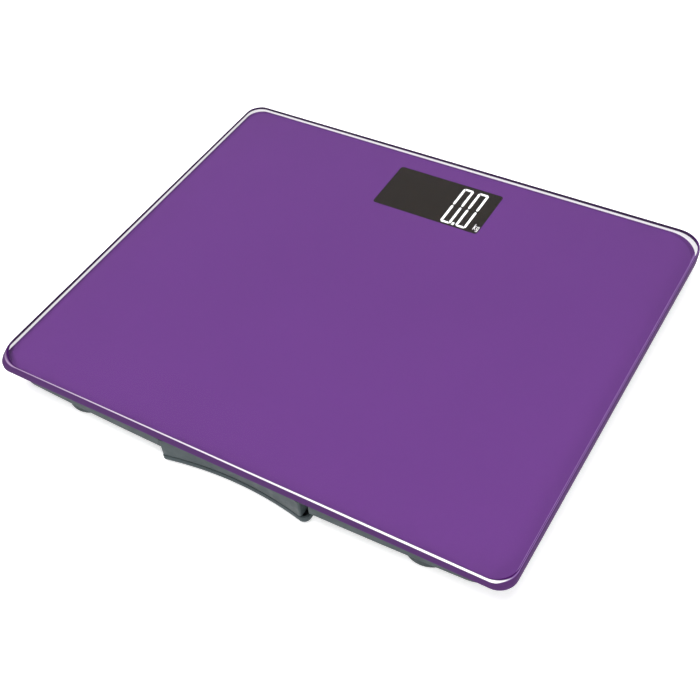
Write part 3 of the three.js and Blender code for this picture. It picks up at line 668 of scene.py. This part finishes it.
# ---------------------------------------------------------------- feet
def feet():
    """Each disc carries its load cell on a boss, which stays clear of the cell's underside when pressed."""
    f = FOOT
    for name, (sx, sy) in CORNERS.items():
        x, y = sx * f["x"], sy * f["y"]
        body = f"foot_{name}"
        disc = turned([
            (0, 1.6), (f["pad"] + GAP, 1.6), (f["pad"] + GAP, 0.9), (f["radius"] - 1.9, 0.9),
            (f["radius"] - 1.2, 1.05), (f["radius"] - 0.6, 1.5), (f["radius"] - 0.2, 2.1), (f["radius"], 2.9),
            (f["radius"], f["top"] - 1), (f["radius"] - 0.3, f["top"] - 0.3), (f["radius"] - 0.8, f["top"]),
            (f["radius"] - 2.2, f["top"]), (f["radius"] - 2.6, 3.6), (6.2, 3.6), (5, f["top"]),
            (4.2, f["boss"] - 1.45), (3.7, f["boss"] - 0.55), (2.8, f["boss"]), (0, f["boss"]),
        ], x, y, 120)
        piece(f"disc_{name}", to_mesh(disc, "disc"), body, [MATERIAL["foot"]], [f"foot_disc_{name}"])
        sole = [(0, 0.45), (2.6, 0.45), (2.9, 0)]
        for groove in (5.2, 7.6, 10.0):
            sole += [(groove, 0), (groove + 0.15, 0.45), (groove + 0.65, 0.45), (groove + 0.8, 0)]
        sole += [(f["pad"] - 1, 0), (f["pad"] - 0.35, 0.15), (f["pad"], 0.55), (f["pad"], 1.3), (0, 1.3)]
        pad = turned(sole, x, y, 96)
        piece(f"pad_{name}", to_mesh(pad, "pad"), body, [MATERIAL["rubber"]], [f"foot_pad_{name}"])


# ---------------------------------------------------------------- battery pod
HOUSING = {"bottom": COVER["top"] + GAP, "roof": 14.5, "roof_thick": 1.6, "wall": 1.8, "inset": 0.2}
DIVIDER = {"half_x": 47.5, "y": -128.75, "thick": 1.3}  # the wall behind the cells


# Finger grooves under the cover, each a little shorter than the one in front of it.
GROOVE = {"count": 5, "first": POD["mid"] + 7, "pitch": 2.4, "half": 15, "shorter": 1.4, "radius": 0.55}


def housing_outline(inset):
    return pod_outline(inset + HOUSING["inset"])


def side_block(side, x0, x1, y0, y1, z0, z1):
    """A block on the right side, or its mirror image on the left."""
    return block(side * x0, y0, z0, side * x1, y1, z1)


def housing():
    """The fixed upper half of the pod, with the hinge's lugs and two ears for its screws."""
    h = HOUSING
    low = [(0.35, h["bottom"]), (0.1, h["bottom"] + 0.12), (0, h["bottom"] + 0.35), (0, CEILING)]
    kept = [stack(housing_outline, low)]
    for side in (-1, 1):
        kept.append(side_block(side, POD["half_x"] - 1.5, 63.5, POD["back"] - 15, POD["back"] - 5,
                               FLOOR_TOP + GAP, FLOOR_TOP + 2.3))
    rooms = [
        stack(housing_outline, [(h["wall"], h["bottom"] - 1), (h["wall"], h["roof"])]),
        stack(housing_outline, [(h["wall"], h["roof"] + h["roof_thick"]), (h["wall"], GLASS["top"])]),
    ]
    lug_in, lug_out = HINGE["lug"]
    added, removed = [reopened(carve("housing", kept, rooms))], []
    for side in (-1, 1):
        added.append(rod(HINGE["eye"], side * lug_in, side * lug_out, HINGE["y"], HINGE["z"]))
        added.append(side_block(side, lug_in, lug_out, POD["back"] - 2, HINGE["y"] + HINGE["eye"],
                                HINGE["z"], BASE["bottom"] - 0.6))
        removed.append(rod(HINGE["bore"], side * (lug_in - 1), side * (lug_out + 1), HINGE["y"], HINGE["z"]))
        removed.append(side_block(side, 38.8, 41.2, -130, POD["back"] + 5, FLOOR_TOP + 1, FLOOR_TOP + 3.4))
    removed += [post(SCREW_HOLE, 0, GLASS["top"], x, y, 24) for x, y in housing_screws()]
    d = DIVIDER
    added.append(block(-d["half_x"], d["y"], h["bottom"] + 0.5, d["half_x"], d["y"] + d["thick"],
                       h["roof"] + 0.5))
    piece("housing", carve("housing", added, removed), "platform", [MATERIAL["body"]],
          ["battery_housing"])


def cover():
    """The pod's swinging lower half, with its hinge arms and a tongue at the front."""
    bottom, top, wall, edge = (COVER[k] for k in ("bottom", "top", "wall", "edge"))
    lip = [(0, top - 0.3), (0.1, top - 0.1), (0.3, top)]
    outer = stack(cover_outline, rounded_foot(edge, bottom, 12) + lip)
    removed = [stack(cover_outline, [(wall + 1, bottom + wall), (wall + 0.3, bottom + wall + 0.3),
                                     (wall, bottom + wall + 1), (wall, top + 1)])]
    grip = GROOVE
    for i in range(grip["count"]):
        half = grip["half"] - i * grip["shorter"]
        removed.append(rod(grip["radius"], -half, half, grip["first"] + i * grip["pitch"], bottom))
    tray = reopened(carve("cover", [outer], removed))
    back_of_tongue = POD["mid"] + HOUSING["wall"] + GAP
    arm_in, arm_out = HINGE["arm"]
    added = [tray, block(-7, back_of_tongue - 0.6, bottom + 1, 7, back_of_tongue + 0.8, top + 2.6)]
    for side in (-1, 1):
        added.append(side_block(side, arm_in, arm_out, POD["back"] - 1, HINGE["y"], top - 2.6, top))
        added.append(rod(HINGE["eye"], side * arm_in, side * arm_out, HINGE["y"], HINGE["z"]))
        added.append(rod(HINGE["pin"], side * (arm_out - 0.5), side * (HINGE["lug"][1] - 0.2),
                         HINGE["y"], HINGE["z"]))
    clear = block(-7.4, POD["mid"], top, 7.4, back_of_tongue, top + 4)
    piece("cover", carve("cover", added, [clear]), "cover", [MATERIAL["body"]], ["battery_cover"])


# ---------------------------------------------------------------- display
def prism(points, z0, z1):
    bm = bmesh.new()
    rings = [[bm.verts.new((x, y, z)) for x, y in points] for z in (z0, z1)]
    n = len(points)
    for i in range(n):
        j = (i + 1) % n
        bm.faces.new((rings[0][i], rings[0][j], rings[1][j], rings[1][i]))
    bm.faces.new(rings[0][::-1])
    bm.faces.new(rings[1])
    return bm


def joined(solids):
    """Separate closed solids as one bmesh."""
    whole = bmesh.new()
    for bm in solids:
        mesh = bpy.data.meshes.new("part")
        bm.to_mesh(mesh)
        bm.free()
        whole.from_mesh(mesh)
        bpy.data.meshes.remove(mesh)
    return whole


DIGIT = {"width": 8.0, "height": 38.2, "stroke": 1.7, "gap": 0.38, "low": 93.6, "left": 11.2, "right": 22.8}
POINT = {"left": 20.1, "size": (1.6, 2.6)}
LIT = (CEILING + 0.04, CEILING + 0.22)  # lower and upper face of a lit segment


def zero(x, y):
    """The six lit segments of a nought whose low left corner is at x, y."""
    w, h, t, g = (DIGIT[k] for k in ("width", "height", "stroke", "gap"))
    middle = h / 2
    cap = [(1.5, h), (w - 1.5, h), (w - 0.9, h - 0.25), (w - t - g, h - t), (t + g, h - t), (0.9, h - 0.25)]
    pole = [(0, h - 1.7), (0.15, h - 1.1), (0.75, h - 0.35 - g), (t, h - t - g), (t, middle + 1.5),
            (t * 0.75, middle + 0.85), (t / 2, middle + 0.6), (t * 0.25, middle + 0.85), (0, middle + 1.5)]
    shapes = []
    for points in (cap, pole, [(w - px, py) for px, py in pole]):
        shapes += [points, [(px, h - py) for px, py in points]]
    return [prism([(x + px, y + py) for px, py in points], *LIT) for points in shapes]


def stroke(points, wide):
    """A thin bar of even width along each step of an open line."""
    bars = []
    for (x0, y0), (x1, y1) in zip(points, points[1:]):
        along = Vector((x1 - x0, y1 - y0)).normalized()
        side = Vector((-along.y, along.x)) * wide / 2
        a, b = Vector((x0, y0)) - along * wide * 0.3, Vector((x1, y1)) + along * wide * 0.3
        bars.append(prism([tuple(v) for v in (a - side, b - side, b + side, a + side)], *LIT))
    return bars


def display():
    """The lit segments: two noughts, the point between them and the unit to their right."""
    lit = [MATERIAL["lit"]]
    low = DIGIT["low"]
    for side in ("left", "right"):
        name = f"digit_{side}"
        piece(name, to_mesh(joined(zero(DIGIT[side], low)), name), "platform", lit)
    x, (wide, high) = POINT["left"], POINT["size"]
    point = prism([(x, low), (x + wide, low), (x + wide, low + high), (x, low + high)], *LIT)
    piece("decimal_point", to_mesh(point, "point"), "platform", lit)
    kay = stroke([(35.6, 95.6), (35.6, 101.0)], 0.36)
    kay += stroke([(36.9, 99.2), (35.8, 97.6), (37.0, 95.6)], 0.36)
    gee = stroke([(39.1, 98.8), (37.9, 98.8), (37.9, 96.0), (39.1, 96.0)], 0.34)
    gee += stroke([(39.1, 99.0), (39.1, 94.4), (37.9, 94.4)], 0.34)
    piece("unit_mark", carve("unit_mark", kay + gee), "platform", lit)


def button():
    """The unit button in the base's underside. Its stem stays clear of the snap dome when pressed."""
    r, bottom = BUTTON["radius"], BELLY["bottom"]
    flange, stem = bottom + BASE["wall"] + GAP, BUTTON["stem"]
    brim = flange + BUTTON["flange"]
    cap = turned([(0, bottom - 0.35), (r * 0.5, bottom - 0.4), (r - 0.8, bottom - 0.7),
                  (r - 0.3, bottom - 0.6), (r, bottom - 0.2), (r, flange), (r + 1.5, flange),
                  (r + 1.5, brim), (1, brim), (1, stem), (0, stem)], BUTTON["x"], BUTTON["y"], 72)
    piece("button", to_mesh(cap, "button"), "button", [MATERIAL["foot"]], ["unit_button"])


platform()
colour_print()
base_shell()
feet()
housing()
cover()
display()
button()


# ---------------------------------------------------------------- camera, floor and light
# The camera stands in front and to the right, a little above half a metre over the floor.
CAMERA_AT = (307.5, -443.1, 553.0)
LENS, SENSOR = 59.95, 36
AZIMUTH, ELEVATION, ROLL = (math.radians(v) for v in (35.59, 46.70, -6.676))
right = Vector((math.cos(AZIMUTH), math.sin(AZIMUTH), 0))
back = Vector((math.sin(AZIMUTH) * math.cos(ELEVATION), -math.cos(AZIMUTH) * math.cos(ELEVATION),
               math.sin(ELEVATION)))
up = back.cross(right)
camera = bpy.data.cameras.new("camera")
camera.lens, camera.sensor_width = LENS, SENSOR
camera.clip_start, camera.clip_end = 0.05, 20
viewer = new_object("camera", camera)
rolled = (right * math.cos(ROLL) + up * math.sin(ROLL), up * math.cos(ROLL) - right * math.sin(ROLL), back)
turn = Matrix(rolled).transposed().to_4x4()
viewer.matrix_world = Matrix.Translation(Vector(CAMERA_AT) * MM) @ turn
bpy.context.scene.camera = viewer

FLOOR_HALF = 4  # metres
FLOOR_GLOW = 0.55
SKY = 0.32
floor_mesh = bpy.data.meshes.new("floor")
floor_mesh.from_pydata([Vector(v) * FLOOR_HALF for v in ((-1, -1, 0), (1, -1, 0), (1, 1, 0), (-1, 1, 0))],
                       [], [(0, 1, 2, 3)])
floor = new_object("floor", floor_mesh)
floor_paint = Paint("pale_floor", Roughness=0.7, Emission_Color=(1, 1, 1, 1),
                    Emission_Strength=FLOOR_GLOW)
floor_paint.colour(floor_paint.ramp(floor_paint.noise(3, 2), (0.3, (0.90,)), (0.7, (0.92,))))
floor_mesh.materials.append(floor_paint.material)

world = bpy.data.worlds.new("studio")
bpy.context.scene.world = world
world.use_nodes = True
sky = world.node_tree.nodes["Background"]
sky.inputs["Color"].default_value = (1, 1, 1, 1)
sky.inputs["Strength"].default_value = SKY


def softbox(name, at, size, power):
    """A rectangular lamp, in metres and watts, that faces the origin."""
    lamp = bpy.data.lights.new(name, "AREA")
    lamp.shape, lamp.size, lamp.size_y, lamp.energy = "RECTANGLE", *size, power
    obj = new_object(name, lamp)
    obj.location = at
    obj.rotation_euler = (-Vector(at)).to_track_quat("-Z", "Y").to_euler()


softbox("overhead", (-0.2, -0.35, 2.0), (1.8, 1.2), 50)
softbox("fill", (1.6, -1.2, 1.4), (1.2, 0.8), 15)
bpy.context.scene.view_settings.view_transform = "Standard"
